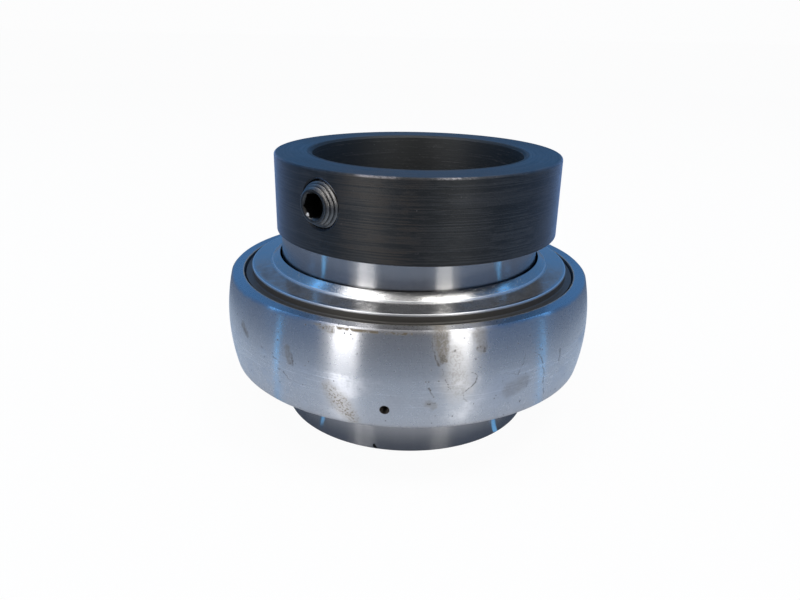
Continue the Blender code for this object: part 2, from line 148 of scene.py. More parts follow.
class Finish(Nodes):
    def __init__(self, name, metallic=1.0, anisotropy=0.0):
        self.material = bpy.data.materials.new(name)
        self.material.use_nodes = True
        super().__init__(self.material.node_tree)
        self.shader = self.tree.nodes["Principled BSDF"]
        # the quarter turn draws highlights out across the turned circles
        self.brushed = {"Metallic": metallic, "Anisotropic": anisotropy, "Anisotropic Rotation": 0.25}
        self.fill(self.shader, self.brushed)
        self.own = Link(self, self.shader.outputs[0])

    def place(self):
        # position in the piece's own frame, in millimetres
        coordinates = self.add("ShaderNodeTexCoord", output="Object")
        return self.vector("SCALE", coordinates, 1 / mm)

    def split(self, vector):
        first = self.add("ShaderNodeSeparateXYZ", None, {0: vector})
        return [first.output(number) for number in range(3)]

    def join(self, x, y, z):
        return self.add("ShaderNodeCombineXYZ", None, {0: x, 1: y, 2: z})

    def vector(self, operation, first, second, output=0):
        inputs = {0: first, 3 if operation == "SCALE" else 1: second}
        return self.add("ShaderNodeVectorMath", {"operation": operation}, inputs, output)

    def distance(self, first, second):
        return self.vector("DISTANCE", first, second, 1)

    def noise(self, vector, scale, detail=3.0, roughness=0.5):
        inputs = {"Vector": vector, "Scale": scale, "Detail": detail, "Roughness": roughness}
        return self.add("ShaderNodeTexNoise", None, inputs)

    def step(self, value, low, high, bottom=0.0, top=1.0):
        # rises smoothly from bottom to top as the value goes from low to high
        inputs = {0: value, 1: low, 2: high, 3: bottom, 4: top}
        return self.add("ShaderNodeMapRange", {"interpolation_type": "SMOOTHSTEP"}, inputs)

    def span(self, value, limits, ending=None):
        # limits are where it begins, where it is full, where it is still full, and where it ends
        begin, full, stillFull, end = limits
        ending = value if ending is None else ending
        return self.step(value, begin, full) * self.step(ending, end, stillFull)

    def polar(self, place, centre=boreCentre):
        # radius in mm, angle from the front in degrees and height in mm
        x, y, z = self.split(place)
        x = x - centre.x / mm
        y = y - centre.y / mm
        radius = (x * x + y * y) ** 0.5
        angle = x.arcTangent(y * -1.0) * (180 / math.pi)
        return radius, angle, z

    def streak(self, flat, start, end, ragged):
        # how far a point of the unrolled surface lies from a tapering streak: 1 at its edge
        run = Vector((end[0] - start[0], end[1] - start[1], 0))
        course = tuple(run.normalized())
        offset = self.vector("SUBTRACT", flat, (start[0], start[1], 0))
        along = self.vector("DOT_PRODUCT", offset, course, 1).most(0.0).least(run.length)
        away = self.distance(offset, self.vector("SCALE", course, along))
        width = start[2]
        if end[2] != start[2] and run.length > 0:
            width = along * ((end[2] - start[2]) / run.length) + start[2]
        return away / width + ragged

    def streaks(self, flat, rows, ragged, soft=0.3):
        # all streaks of a list: a row is angle, height and half width at each end, and strength
        total = 0.0
        for fromAngle, fromHeight, fromWidth, toAngle, toHeight, toWidth, strength in rows:
            start = (fromAngle * mmPerDegree, fromHeight, fromWidth)
            end = (toAngle * mmPerDegree, toHeight, toWidth)
            reach = self.streak(flat, start, end, ragged)
            total = self.step(reach, 1.0 + soft, 1.0 - soft, top=strength).most(total)
        return total

    def bump(self, height, distance, normal=None):
        inputs = {"Height": height, "Distance": distance, "Strength": 1.0}
        if normal is not None:
            inputs["Normal"] = normal
        return self.add("ShaderNodeBump", None, inputs)

    def surface(self, inputs):
        self.fill(self.shader, inputs)
        return self.material

    def glow(self, colour):
        return self.add("ShaderNodeEmission", None, {"Color": colour, "Strength": 1.0})

    def mixed(self, factor, first, second):
        return self.add("ShaderNodeMixShader", None, {0: factor, 1: first, 2: second})

    def show(self, shader):
        # the material shows this shader in place of its own
        self.fill(self.tree.nodes["Material Output"], {"Surface": shader})
        return self.material


def turningLines(finish, radius, height, place, pitch, drift=0.35):
    # fine circles about the axis that fade in and out round the piece
    wander = finish.noise(place, 0.045, 2.0) * (drift * 12)
    lines = finish.join(radius / pitch, height / pitch, wander)
    return finish.noise(lines, 1.0, 4.0, 0.65)


outerSteel = {
    "light": (0.54, 0.54, 0.56), "dark": (0.40, 0.40, 0.42), "stain": (0.125, 0.092, 0.045),
    "darkMark": (0.045, 0.036, 0.028), "worn": (0.70, 0.70, 0.73), "seat": (0.34, 0.30, 0.22),
    "roughness": 0.28, "anisotropy": 1.0, "linePitch": 0.16, "lineDepth": 0.0035 * mm,
    "grainDepth": 0.0050 * mm, "pitDepth": 0.012 * mm,
    "waviness": 1.1,  # of the streaks' sides, in mm
    "scuffed": 0.50, "scratched": 0.55, "beltPale": 0.12, "pitted": 0.75,
    # heights in mm, and for the dirty front of the rim angles from the front in degrees
    "belt": (13.5, 17.0, 25.0, 26.4), "scratchBelt": (18.0, 20.5, 24.5, 27.5),
    "rim": (34.55, 34.95, 35.15, 35.40), "rimFront": (-27.0, -22.0, 1.0, 6.0),
    # streaks: angle from the front in degrees, height and half width in mm at both ends, strength
    "stains": [
        (8.7, 34.8, 1.75, 9.5, 29.8, 0.85, 0.7), (19.3, 34.4, 1.5, 19.8, 31.6, 1, 0.46),
        (18.8, 31.7, 0.45, 20.4, 31.5, 0.45, 0.6), (-33.5, 28.4, 0.75, -32.7, 25.5, 0.72, 0.46),
        (-54.6, 28.4, 0.95, -51.8, 27, 0.65, 0.5), (28.8, 21, 1.7, 33.4, 21.8, 1.6, 0.3),
        (6, 20, 0.9, 7.4, 19.4, 0.8, 0.28), (10, 26.5, 1.2, 12.5, 22.5, 1.6, 0.16),
    ],
    "speckled": [
        (-20.6, 22, 1.3, -17.8, 19.2, 2.2, 0.66), (-17.8, 19.2, 2.2, -14.3, 15.3, 1.4, 0.78),
        (12, 31, 1.8, 13.5, 24, 3.2, 0.38), (-23.4, 34.4, 0.35, -20, 34.4, 0.7, 0.9),
    ],
    "marks": [
        (6.4, 34.6, 0.1, 6.7, 31.7, 0.16, 0.75), (6.7, 31.7, 0.16, 7.5, 30.1, 0.2, 0.8),
        (7.5, 30.1, 0.2, 8.4, 28.5, 0.26, 0.8), (9.3, 30.2, 0.65, 9, 29.2, 0.5, 0.42),
        (9.1, 27.9, 0.1, 9.6, 26.6, 0.14, 0.55), (10.1, 25.5, 0.12, 10.4, 24.8, 0.14, 0.55),
        (10.8, 23.9, 0.12, 11.3, 23.3, 0.16, 0.6), (20.5, 30.8, 0.26, 20.4, 31.3, 0.2, 0.75),
        (18.6, 31.3, 0.3, 19.2, 31.7, 0.3, 0.45), (21.2, 33.4, 0.08, 21, 31.2, 0.14, 0.45),
        (17, 26.8, 0.08, 18.5, 25.7, 0.15, 0.6), (18.5, 25.7, 0.15, 18.3, 24.4, 0.2, 0.75),
        (18.3, 24.4, 0.2, 15.7, 22.6, 0.13, 0.7), (15, 22.4, 0.09, 15.2, 20.6, 0.11, 0.45),
        (15.2, 20.6, 0.11, 16.6, 19.8, 0.12, 0.45), (33.3, 28.6, 0.07, 32.7, 26.7, 0.12, 0.5),
        (32.7, 26.7, 0.12, 30.9, 24.3, 0.15, 0.6), (30.9, 24.3, 0.1, 26.4, 25.3, 0.06, 0.35),
        (34.8, 28.1, 0.06, 37, 28.1, 0.08, 0.35), (37, 28.1, 0.08, 39.1, 26.5, 0.14, 0.55),
        (39.1, 26.5, 0.14, 41, 22.6, 0.17, 0.7), (41, 22.6, 0.22, 41.3, 20, 0.17, 0.7),
        (41.3, 20, 0.12, 43.2, 16.2, 0.13, 0.5), (32.5, 23.3, 0.06, 34.8, 22.6, 0.09, 0.4),
        (34.8, 22.6, 0.09, 34.6, 20.4, 0.1, 0.45), (5.9, 23.7, 0.22, 6.3, 23.2, 0.13, 0.8),
        (6.3, 23.2, 0.08, 7.3, 21.8, 0.2, 0.65), (5.7, 20.1, 0.16, 6.5, 19.9, 0.18, 0.75),
        (7.2, 20, 0.12, 7.8, 20.1, 0.1, 0.65), (47.9, 26.2, 0.3, 47.7, 23.6, 0.2, 0.55),
        (12.4, 31.5, 0.22, 12.4, 31.5, 0.22, 0.9), (12.4, 31.5, 0.07, 13.3, 30.3, 0.06, 0.6),
        (33.3, 17.1, 0.2, 33.3, 17.1, 0.2, 0.85), (-31.9, 27.6, 0.1, -31.4, 24.9, 0.24, 0.75),
        (-32.3, 25, 0.25, -31.6, 24.7, 0.22, 0.55), (-39.4, 25.9, 0.2, -39, 26, 0.18, 0.8),
        (-38.9, 25.2, 0.14, -37.6, 24.9, 0.16, 0.7), (-43.8, 26.2, 0.22, -43.5, 26.1, 0.18, 0.6),
        (-36.9, 22.8, 0.26, -36.5, 22.7, 0.2, 0.4), (-35.2, 22.6, 0.16, -33.4, 21.3, 0.12, 0.6),
        (-33.6, 21.4, 0.07, -26.2, 20.7, 0.05, 0.45), (-53.6, 27.8, 0.3, -52, 26.6, 0.16, 0.5),
    ],
}


def outerSteelFinish():
    values = outerSteel
    finish = Finish("groundOuterRing", anisotropy=values["anisotropy"])
    place = finish.place()
    x, y, z = finish.split(place)
    radius, angle, height = finish.polar(place)
    flat = finish.join(angle * mmPerDegree, height, 0.0)
    drift = finish.noise(place, 0.8, 4.0).output("Color")
    drift = finish.vector("SUBTRACT", drift, (0.5, 0.5, 0.5))
    wavy = finish.vector("ADD", flat, finish.vector("SCALE", drift, values["waviness"]))
    lines = turningLines(finish, radius, height, place, values["linePitch"])
    cloud = finish.noise(place, 0.16, 5.0, 0.6)
    grain = finish.noise(place, 2.2, 3.0, 0.6)
    ragged = finish.noise(place, 1.3, 4.0, 0.7)
    fray = ragged - 0.5
    # pale worn belt with scratches that run round the ring
    belt = finish.span(height, values["belt"], height + fray * 1.6)
    scuff = finish.step(cloud + (grain - 0.5) * 0.5, 0.42, 0.68) * belt
    drawn = finish.noise(finish.join(x * 0.09, y * 0.09, z * 3.4), 1.0, 3.0, 0.6)
    scratch = finish.step(drawn, 0.57, 0.68) * finish.span(height, values["scratchBelt"])
    pale = scuff * values["scuffed"] + scratch * values["scratched"] + belt * values["beltPale"]
    colour = finish.blend((lines - 0.5) * 0.9 + 0.5, values["dark"], values["light"])
    colour = finish.blend(pale, colour, values["worn"])
    # small dark pits, in clusters
    cell = finish.add("ShaderNodeTexVoronoi", None, {"Vector": place, "Scale": 0.75})
    pits = finish.step(cell, 0.17, 0.08) * finish.step(ragged + (cloud - 0.5), 0.48, 0.62)
    # the stains and marks of the photo, broken up by the grain
    stain = finish.streaks(wavy, values["stains"], fray * 1.2, 0.5) * finish.step(grain, 0.30, 0.62, 0.45)
    patchy = finish.streaks(wavy, values["speckled"], fray * 1.4, 0.7)
    stain = stain.most(patchy * finish.step(grain + fray * 0.6, 0.46, 0.60, 0.35))
    mark = finish.streaks(wavy, values["marks"], fray * 1.4, 0.7) * finish.step(grain, 0.36, 0.58, 0.4)
    mark = mark.most(pits * values["pitted"])
    # dark edge of the grease hole
    drill = outerRing["holeDiameter"] / 2 / mm
    holeMiddle = (outerRing["holeAngle"] * mmPerDegree, outerRing["holeHeight"] / mm, 0)
    mark = mark.most(finish.step(finish.distance(flat, holeMiddle), drill + 0.15, drill + 0.03))
    # broken brown line along the front of the upper rim
    rim = finish.span(height, values["rim"]) * (finish.span(angle, values["rimFront"]) * 0.75 + 0.15)
    stain = stain.most(rim * finish.step(cloud + fray, 0.38, 0.60))
    colour = finish.blend(stain, colour, values["stain"])
    colour = finish.blend(mark, colour, values["darkMark"])
    dirt = stain.most(mark)
    # the edge of the seat that holds the shield is dulled to a light brownish line: a painted highlight,
    # partly dirt
    seatRadius = outerRing["seatRadius"] / mm
    top = ringHigh.z / mm
    seat = finish.step(radius, seatRadius + 0.37, seatRadius + 0.17)
    seat = seat * finish.step(height, top - 0.30, top - 0.15) * finish.step(ragged, 0.35, 0.60, 0.5)
    colour = finish.blend(seat, colour, values["seat"])
    normal = finish.bump(lines, values["lineDepth"])
    normal = finish.bump(grain, values["grainDepth"], normal)
    normal = finish.bump(pits, -values["pitDepth"], normal)
    return finish.surface({
        "Base Color": colour, "Metallic": 1.0 - dirt * 0.55 - seat * 0.6, "Normal": normal,
        "Roughness": values["roughness"] + scuff * 0.10 + dirt * 0.25 + (grain - 0.5) * 0.06})


innerSteel = {
    "light": (0.56, 0.555, 0.56), "dark": (0.44, 0.44, 0.45), "dull": (0.30, 0.29, 0.27),
    "nickColour": (0.01, 0.01, 0.01), "roughness": 0.20, "anisotropy": 1.0, "linePitch": 0.12,
    "lineDepth": 0.0012 * mm,
    "nick": [(-12.8, 0.9, 0.45, -12.0, 0.3, 0.30, 0.95)],  # a streak, as on the outer ring
}


def innerSteelFinish():
    values = innerSteel
    finish = Finish("groundInnerRing", anisotropy=values["anisotropy"])
    place = finish.place()
    x, y, z = finish.split(place)
    radius, angle, height = finish.polar(place)
    lines = turningLines(finish, radius, height, place, values["linePitch"])
    chatter = finish.noise(finish.join(x * 0.8, y * 0.8, z * 0.03), 1.0, 3.0, 0.6)
    cloud = finish.noise(place, 0.25, 4.0, 0.6)
    colour = finish.blend(lines * 0.4 + chatter * 0.6, values["dark"], values["light"])
    colour = finish.blend(finish.step(cloud, 0.60, 0.8, top=0.2), colour, values["dull"])
    flat = finish.join(angle * mmPerDegree, height, 0.0)
    nick = finish.streaks(flat, values["nick"], (cloud - 0.5) * 0.8)
    colour = finish.blend(nick, colour, values["nickColour"])
    return finish.surface({
        "Base Color": colour, "Normal": finish.bump(lines, values["lineDepth"]),
        "Roughness": values["roughness"] + (cloud - 0.5) * 0.06 + (chatter - 0.5) * 0.05})


shieldSteel = {
    "colour": (0.46, 0.455, 0.45), "pitColour": (0.20, 0.175, 0.14), "wornAndHighlit": (0.80, 0.80, 0.81),
    "smudge": (0.034, 0.033, 0.032), "grease": (0.032, 0.027, 0.020), "roughness": 0.19, "anisotropy": 0.35,
    "linePitch": 0.30, "lineDepth": 0.003 * mm, "grainDepth": 0.003 * mm, "pitDepth": 0.010 * mm,
    "wornHighlightStrength": 0.75, "recessDirtAndShade": 0.92,
    # radii in mm of the flat step and of the band's edge
    "flatStep": (34.0, 34.6, 37.6, 38.4), "bandEdge": (33.70, 33.84, 33.96, 34.06),
}


def shieldSteelFinish():
    values = shieldSteel
    finish = Finish("pressedShield", anisotropy=values["anisotropy"])
    place = finish.place()
    radius, angle, height = finish.polar(place)
    cloud = finish.noise(place, 0.35, 5.0, 0.65)
    grain = finish.noise(place, 2.6, 4.0, 0.65)
    lines = turningLines(finish, radius, height, place, values["linePitch"])
    away = abs(height - midHeight / mm)
    band = finish.step(radius, 34.2, 33.9)
    pits = finish.step(grain, 0.58, 0.66)
    # the flat step between band and lip holds most of the grease and dirt, most of all in front
    ahead = finish.step(abs(angle), 88, 62) * finish.span(radius, values["flatStep"])
    smudge = finish.step(cloud + (grain - 0.5) * 0.35, 0.16, 0.66) * (ahead * 0.66 + 0.10)
    # painted shade with grease: the wall and flange below the lip are painted dark brown, where shade falls
    # in the recess
    recess = finish.step(away, 12.10, 11.85) * finish.step(radius, 38.2, 38.5)
    greased = recess * values["recessDirtAndShade"]
    # edges that are rubbed bright and also painted lighter as a painted highlight: the outer lip and the edge
    # of the band
    wornAndHighlit = finish.step(away, 11.95, 12.12) * finish.step(radius, 38.35, 38.60)
    wornAndHighlit = wornAndHighlit.most(finish.span(radius, values["bandEdge"]))
    smudge = smudge * (1 - wornAndHighlit)
    colour = finish.blend(pits * (0.25 + band * 0.45), values["colour"], values["pitColour"])
    colour = finish.blend(wornAndHighlit * values["wornHighlightStrength"], colour, values["wornAndHighlit"])
    colour = finish.blend(smudge, colour, values["smudge"])
    colour = finish.blend(greased, colour, values["grease"])
    roughness = values["roughness"] + smudge * 0.06 + recess * 0.25 + wornAndHighlit * 0.20 + pits * band * 0.12
    normal = finish.bump(grain, values["grainDepth"])
    normal = finish.bump(pits * band, values["pitDepth"], normal)
    normal = finish.bump(lines, values["lineDepth"], normal)
    return finish.surface({
        "Base Color": colour, "Roughness": roughness, "Metallic": 1.0 - smudge.most(greased) * 0.6,
        "Normal": normal})


collarOxide = {
    "dark": (0.003, 0.004, 0.005), "light": (0.015, 0.0165, 0.019), "warm": (0.019, 0.015, 0.012),
    # the bore colour is a painted shade for the inside of the bore
    "worn": (0.30, 0.28, 0.29), "bore": (0.002, 0.0035, 0.0035), "roughness": 0.42, "anisotropy": 0.5,
    "gloss": 0.42, "topGloss": 0.75, "blueSheen": 0.8, "blueSheenTint": (0.30, 0.52, 1.0), "blueSheenRoughness": 0.3,
    "linePitch": 0.30, "lineDepth": 0.055 * mm, "grainDepth": 0.008 * mm,
    "brownerFront": (-36.0, -24.0, -4.0, 8.0),  # angles from the front
    "highlitEdgeAngles": (-14.0, 12.0), "speckled": 0.5, "footWorn": 0.12, "boreWorn": 0.16,
}


def collarOxideFinish():
    values = collarOxide
    finish = Finish("blackOxideCollar", anisotropy=values["anisotropy"])
    place = finish.place()
    radius, angle, height = finish.polar(place, collarCentre)
    lines = turningLines(finish, radius, height, place, values["linePitch"], 0.5)
    cloud = finish.noise(place, 0.10, 5.0, 0.6)
    grain = finish.noise(place, 1.6, 4.0, 0.6)
    rim = collarRadius / mm
    top = collarHigh.z / mm
    bottom = collarLow.z / mm
    shade = finish.step(lines + (cloud - 0.5) * 0.4, 0.44, 0.58)
    colour = finish.blend(shade, values["dark"], values["light"])
    # the oxide is browner over the front left
    brownerFront = finish.span(angle, values["brownerFront"]) * finish.step(cloud, 0.35, 0.55)
    colour = finish.blend(brownerFront * shade, colour, values["warm"])
    # painted shade: the bore is painted darker than the outside
    inside = finish.step(radius, 26.6, 26.0)
    colour = finish.blend(inside * 0.8, colour, values["bore"])
    # bare metal: the upper edge, brightest in two stretches that are a painted highlight, the foot, lines in
    # the bore, and specks
    left, right = values["highlitEdgeAngles"]
    highlitStretches = finish.step(abs(angle - left), 9.0, 5.0) + finish.step(abs(angle - right), 9.0, 5.0)
    upperEdge = finish.step(height, top - 0.55, top - 0.25) * finish.step(radius, rim - 0.75, rim - 0.30)
    wornAndHighlit = upperEdge * finish.step(cloud + (grain - 0.5) * 0.5, 0.34, 0.62) * (highlitStretches * 0.62 + 0.06)
    foot = finish.step(height, bottom + 0.25, bottom + 0.10, top=values["footWorn"])
    bore = inside * finish.step(lines + (grain - 0.5) * 0.4, 0.58, 0.68, top=values["boreWorn"])
    speck = finish.step(grain, 0.71, 0.76, top=values["speckled"])
    wear = wornAndHighlit.most(foot.most(bore.most(speck)))
    roughness = values["roughness"] + (cloud - 0.5) * 0.16 - (lines - 0.5) * 0.16
    normal = finish.bump(lines, values["lineDepth"])
    normal = finish.bump(grain, values["grainDepth"], normal)
    skin = {
        "Base Color": finish.blend(wear, colour, values["worn"]), "Metallic": wear, "Normal": normal,
        "Roughness": roughness - wear * 0.12 + inside * 0.20}
    finish.surface({**skin, "Specular IOR Level": values["topGloss"]})
    # an oil film's grazing sheen on the turned outside, tinted blue as a painted reflection of blue
    # surroundings
    blueSheenShader = finish.add("ShaderNodeBsdfPrincipled", None, {
        **finish.brushed, **skin, "Specular IOR Level": values["gloss"], "Sheen Weight": values["blueSheen"],
        "Sheen Roughness": values["blueSheenRoughness"], "Sheen Tint": values["blueSheenTint"]})
    return finish.show(finish.mixed(finish.step(radius, rim - 0.60, rim - 0.10), finish.own, blueSheenShader))


setScrew = {
    "length": 10.0 * mm, "protrusion": 1.8 * mm, "pitch": 0.75 * mm, "threadDepth": 0.46 * mm,
    "chamferDepth": 1.35 * mm, "chamferLength": 2.2 * mm, "segments": 96, "rowsPerTurn": 14,
    "socketFlats": 5.0 * mm, "socketDepth": 4.8 * mm, "socketTurn": 8,
    "mouthWider": 0.1 * mm,  # the countersink beyond the corners of the hexagon
    "mouthDepth": 0.45 * mm, "cupRadius": 2.8 * mm, "cupDepth": 1.2 * mm,
}


screwSteel = {
    "root": (0.045, 0.044, 0.044), "wornHighlitCrest": (0.19, 0.185, 0.18), "socket": (0.008, 0.008, 0.008),
    "glint": (0.90, 0.90, 0.92), "roughness": 0.36, "grainDepth": 0.008 * mm, "socketReach": 3.02,
    "socketFace": 0.30, "glintAside": 1.55, "glintBelow": 1.85,
}


def screwSteelFinish():
    values = screwSteel
    finish = Finish("wornScrew")
    place = finish.place()
    origin = collarCentre / mm + axisZ * (screwHeight / mm)
    course = tuple(screwAxis)
    offset = finish.vector("SUBTRACT", place, tuple(origin))
    along = finish.vector("DOT_PRODUCT", offset, course, 1)
    away = finish.distance(offset, finish.vector("SCALE", course, along))
    grain = finish.noise(place, 2.4, 4.0, 0.65)
    face = (collarRadius + setScrew["protrusion"]) / mm
    # the crests of the thread are rubbed bright and painted lighter, and the roots painted dark, as painted
    # highlight and shade as well as wear; on the chamfer the crests stand at a smaller radius
    slope = setScrew["chamferDepth"] / setScrew["chamferLength"]
    reach = (face - along) * slope + (screwRadius - setScrew["chamferDepth"]) / mm
    reach = reach.least(screwRadius / mm) - away
    wornHighlitCrest = finish.step(reach + (grain - 0.5) * 0.25, 0.34, 0.06, 0.08, 0.88)
    colour = finish.blend(wornHighlitCrest, values["root"], values["wornHighlitCrest"])
    rim = finish.step(along, face - 0.25, face - 0.12) * finish.step(grain, 0.30, 0.70, top=0.35)
    colour = finish.blend(rim, colour, values["wornHighlitCrest"])
    # painted shade: the inside of the hexagon socket is painted nearly black
    socket = finish.step(along, face - values["socketFace"], face - values["socketFace"] - 0.15)
    socket = socket * finish.step(away, values["socketReach"], values["socketReach"] - 0.10)
    colour = finish.blend(socket, colour, values["socket"])
    # a painted highlight: a bright glint on the lower left edge of the socket
    aside = screwAxis.cross(axisZ).normalized()
    nick = origin + screwAxis * face + aside * values["glintAside"] - axisZ * values["glintBelow"]
    glint = finish.step(finish.distance(place, tuple(nick)) + (grain - 0.5) * 0.4, 0.62, 0.35)
    return finish.surface({
        "Base Color": finish.blend(glint, colour, values["glint"]), "Metallic": 1 - glint,
        "Roughness": values["roughness"] + socket * 0.4 + (grain - 0.5) * 0.16,
        "Normal": finish.bump(grain, values["grainDepth"])})


def plainSteelFinish(name, colour, roughness):
    finish = Finish(name)
    grain = finish.noise(finish.place(), 1.2, 4.0, 0.6)
    dark = tuple(0.8 * part for part in colour)
    return finish.surface({
        "Base Color": finish.blend(finish.step(grain, 0.3, 0.7), dark, colour),
        "Roughness": roughness + (grain - 0.5) * 0.12, "Normal": finish.bump(grain, 0.006 * mm)})


def rubberFinish():
    finish = Finish("nitrileRubber", metallic=0.0)
    grain = finish.noise(finish.place(), 3.0, 4.0, 0.6)
    return finish.surface({
        "Base Color": finish.blend(grain, (0.010, 0.010, 0.010), (0.028, 0.027, 0.026)),
        "Roughness": 0.55 + (grain - 0.5) * 0.2, "Normal": finish.bump(grain, 0.010 * mm)})


# Mesh building
def rounded(corners, steps=5):
    # corners are (radius, height, fillet) and perhaps the centre that they turn about, once
    # round the section; each fillet becomes an arc
    outline = []
    count = len(corners)
    for number, (radius, height, fillet, *centre) in enumerate(corners):
        here = Vector((radius, height))
        if fillet == 0:
            outline.append((*here, *centre))
            continue
        before = Vector(corners[number - 1][:2]) - here
        after = Vector(corners[(number + 1) % count][:2]) - here
        half = before.angle(after) / 2
        reach = min(fillet / math.tan(half), 0.49 * min(before.length, after.length))
        start = here + before.normalized() * reach
        end = here + after.normalized() * reach
        middle = here + (before.normalized() + after.normalized()).normalized() * (reach / math.cos(half))
        arm = start - middle
        sweep = arm.angle_signed(end - middle)
        for stepNumber in range(steps + 1):
            turn = -sweep * stepNumber / steps
            sine, cosine = math.sin(turn), math.cos(turn)
            turned = Vector((arm.x * cosine - arm.y * sine, arm.x * sine + arm.y * cosine))
            outline.append((*(middle + turned), *centre))
    return outline


def arcPoints(centre, radius, start, end, count):
    angles = [start + (end - start) * number / count for number in range(count + 1)]
    return [Vector((centre[0] + radius * math.cos(a), centre[1] + radius * math.sin(a))) for a in angles]


def web(shape, rows, around=True):
    # faces between each row of points and the next, where a row of one point is a pole
    for upper, lower in zip(rows, rows[1:]):
        count = max(len(upper), len(lower))
        for number in range(count if around else count - 1):
            after = (number + 1) % count
            if len(upper) == 1:
                shape.faces.new((upper[0], lower[number], lower[after]))
            elif len(lower) == 1:
                shape.faces.new((upper[number], lower[0], upper[after]))
            else:
                shape.faces.new((upper[number], lower[number], lower[after], upper[after]))


def roundTurns(count):
    return [2 * math.pi * number / count for number in range(count)]


def onCircle(radius, turn, height, centre=boreCentre):
    return Vector((centre.x + radius * math.cos(turn), centre.y + radius * math.sin(turn), height))


def newObject(name, data):
    # from a mesh, lamp or camera, or from a finished bmesh
    if isinstance(data, bmesh.types.BMesh):
        mesh = bpy.data.meshes.new(name)
        data.to_mesh(mesh)
        data.free()
        data = mesh
    thing = bpy.data.objects.new(name, data)
    bpy.context.scene.collection.objects.link(thing)
    return thing


def turned(name, outline, segments, closed=True):
    # outline points are (radius, height) and perhaps a centre, from top to bottom on the outside
    shape = bmesh.new()
    rows = []
    for radius, height, *given in outline:
        turns = roundTurns(segments if radius > 0 else 1)
        rows.append([shape.verts.new(onCircle(radius, turn, height, *given)) for turn in turns])
    web(shape, rows + rows[:1] if closed else rows)
    return newObject(name, shape)


def flipped(outline):
    # the same section mirrored in the ring's middle plane
    return [(radius, 2 * midHeight - height) for radius, height in reversed(outline)]


def cut(thing, cutter):
    # a Boolean that is applied at once, after which the cutter goes
    boolean = thing.modifiers.new("cut", "BOOLEAN")
    boolean.object = cutter
    boolean.operation = "DIFFERENCE"
    boolean.solver = "EXACT"
    bpy.context.view_layer.update()
    evaluated = thing.evaluated_get(bpy.context.evaluated_depsgraph_get())
    result = bpy.data.meshes.new_from_object(evaluated)
    thing.modifiers.remove(boolean)
    thing.data = result
    bpy.data.objects.remove(cutter)


def dress(thing, finish, body, node, sharp=35):
    # smooth shading, the finish, and the body that carries the piece
    thing.data.materials.clear()
    thing.data.materials.append(finishes[finish])
    thing.data.shade_smooth()
    thing.data.set_sharp_from_angle(angle=math.radians(sharp))
    weighted = thing.modifiers.new("evenNormals", "WEIGHTED_NORMAL")
    weighted.keep_sharp = True
    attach(thing, body)
    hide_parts(node)


def alongAxis(origin, direction):
    # frame at origin whose Z points along direction
    return Matrix.Translation(origin) @ direction.to_track_quat("Z", "Y").to_matrix().to_4x4()


outerRing = {
    "segments": 256, "sphereSteps": 40, "edge": 0.45 * mm, "edgeFillet": 0.22 * mm,
    "seatRadius": 40.78 * mm, "seatHalf": 8.24 * mm, "seatEdge": 0.18 * mm, "seatCorner": 0.10 * mm,
    "landRadius": 38.9 * mm, "landEdge": 0.15 * mm, "raceRadius": 6.604 * mm, "raceBottom": 41.6 * mm,
    "raceSteps": 16, "holeDiameter": 1.9 * mm, "holeHeight": 18.35 * mm, "holeAngle": -5.4,
}


def makeOuterRing():
    values = outerRing
    sphereHalf = ringHalf - values["edge"]
    sweep = math.asin(sphereHalf / sphereRadius)
    faceRadius = sphereRadius * math.cos(sweep) - values["edge"]
    raceCentre = values["raceBottom"] - values["raceRadius"]
    raceSweep = math.acos((values["landRadius"] - raceCentre) / values["raceRadius"])
    sphere = arcPoints((0, midHeight), sphereRadius, sweep, -sweep, values["sphereSteps"])
    race = arcPoints((raceCentre, midHeight), values["raceRadius"], -raceSweep, raceSweep,
                      values["raceSteps"])
    # the corners on each side of the middle plane, from the land beside the race to the face
    side = [
        (values["landRadius"], values["seatHalf"], values["landEdge"]),
        (values["seatRadius"], values["seatHalf"], values["seatCorner"]),
        (values["seatRadius"], ringHalf, values["seatEdge"]), (faceRadius, ringHalf, values["edgeFillet"]),
    ]
    corners = [(radius, midHeight + rise, fillet) for radius, rise, fillet in side]
    corners += [(point.x, point.y, 0) for point in sphere]
    corners += [(radius, midHeight - rise, fillet) for radius, rise, fillet in reversed(side)]
    corners += [(point.x, point.y, 0) for point in race]
    thing = turned("outerRing", rounded(corners, 4), values["segments"])
    # the grease hole goes right through to the race
    drill = values["holeDiameter"] / 2
    beyond = sphereRadius + 2 * mm
    reach = [(0, beyond), (drill, beyond), (drill, pitchRadius), (0, pitchRadius)]
    cutter = turned("greaseHole", reach, 48, closed=False)
    cutter.matrix_world = alongAxis(Vector((0, 0, values["holeHeight"])), fromFront(values["holeAngle"]))
    cut(thing, cutter)
    dress(thing, "outer", "outer_ring", "outer_ring")


innerRing = {
    "segments": 256, "edge": 0.35 * mm, "shoulderEdge": 0.12 * mm, "boreRadius": 25.0 * mm,
    "boreChamfer": 0.6 * mm, "boreEdge": 0.1 * mm, "camHeight": 4.2 * mm, "camRadius": 28.6 * mm,
    "raceRadius": 6.604 * mm, "raceBottom": 28.4 * mm, "raceSteps": 16,
}


